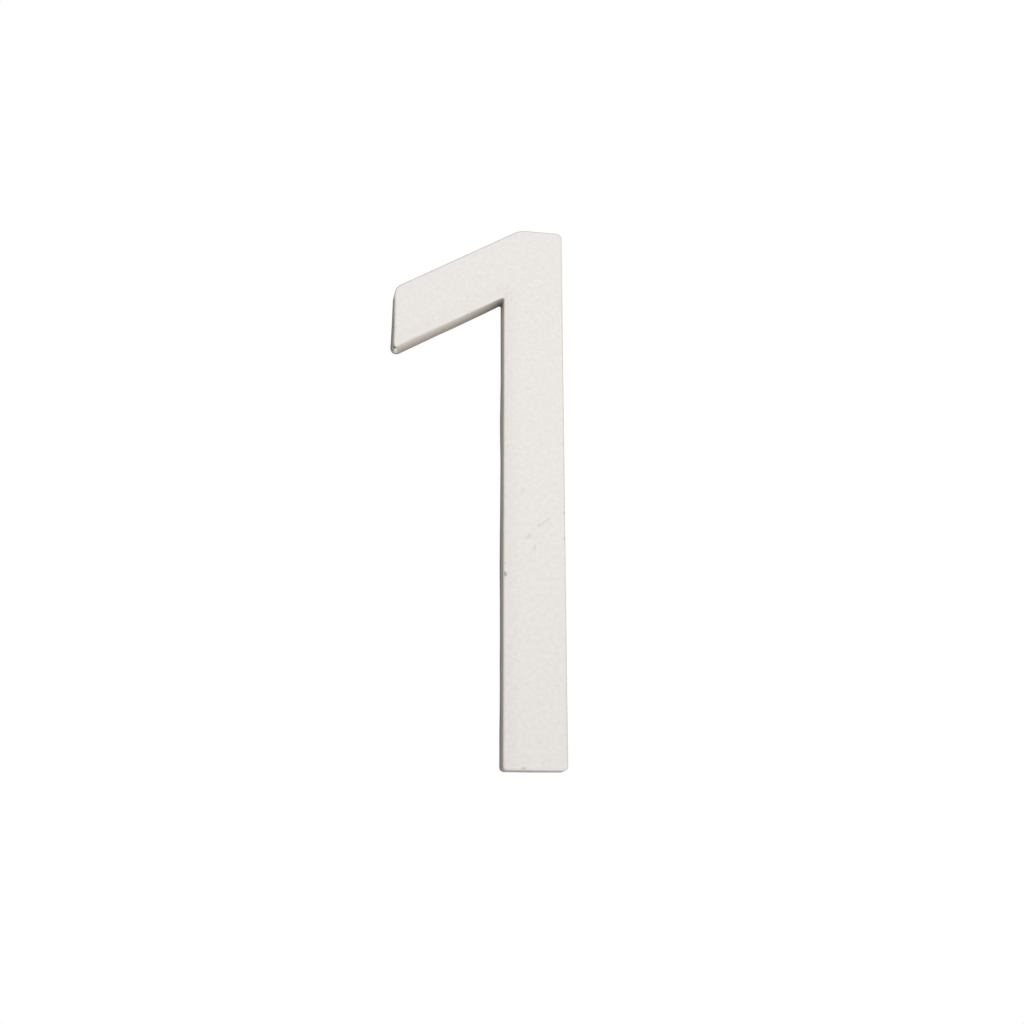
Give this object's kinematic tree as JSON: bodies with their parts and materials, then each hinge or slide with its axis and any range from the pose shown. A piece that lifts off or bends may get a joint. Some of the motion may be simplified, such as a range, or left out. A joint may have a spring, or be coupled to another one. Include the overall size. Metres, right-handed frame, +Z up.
{
  "type": "floating house number",
  "caption": "House number in the shape of the numeral 1: a thin satin silver casting with a slanted flag, rounded edges and blind tapped holes in its flat back for hidden wall studs.",
  "frame": {"origin": "centre of the stud hole pair on the plane of the back, on the stem's middle line at half the numeral's height", "axes": "+X to the reader's right, +Y into the wall behind the numeral, +Z up along the stem; the face looks towards -Y"},
  "size_m": [0.0157, 0.002, 0.05],
  "materials": {
    "satin_silver": "satin"
  },
  "bodies": {
    "root": {"numeral_one": "satin_silver"}
  },
  "joints": []
}
